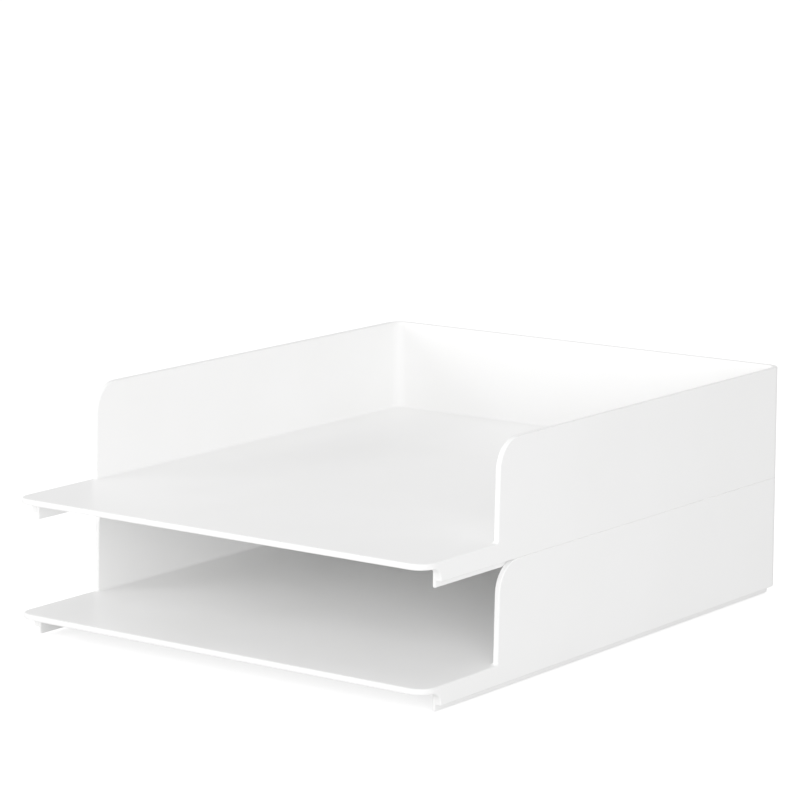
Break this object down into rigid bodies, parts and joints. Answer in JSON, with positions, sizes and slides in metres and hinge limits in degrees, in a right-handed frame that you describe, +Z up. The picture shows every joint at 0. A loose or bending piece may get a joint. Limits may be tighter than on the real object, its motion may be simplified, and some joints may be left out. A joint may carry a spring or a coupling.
{
  "type": "letter tray",
  "caption": "Stacked pair of front-loading letter trays: flat floors with projecting rounded front lips, low walls on the sides and back, and a rim under each that nests in the walls below.",
  "frame": {"origin": "centre of the object's bounding box at its base, on the surface that the feet stand on", "axes": "+Z up, -Y towards the open front and the lips, +Y towards the back walls, +X to the right seen from the front"},
  "size_m": [0.254, 0.32, 0.1221],
  "materials": {
    "tray_plastic": "white moulded ABS, satin with soft reflections",
    "foot_rubber": "matt light grey non-slip rubber"
  },
  "bodies": {
    "lower": {"lower_tray": "tray_plastic", "lower_foot_front_left": "foot_rubber", "lower_foot_front_right": "foot_rubber", "lower_foot_rear_left": "foot_rubber", "lower_foot_rear_right": "foot_rubber"},
    "upper": {"upper_tray": "tray_plastic", "upper_foot_front_left": "foot_rubber", "upper_foot_front_right": "foot_rubber", "upper_foot_rear_left": "foot_rubber", "upper_foot_rear_right": "foot_rubber"}
  },
  "joints": [
    {"name": "upper_tray_lift", "type": "slide", "parent": "lower", "child": "upper", "axis": [0, 0, 1], "range_m": [0, 0.12]}
  ]
}
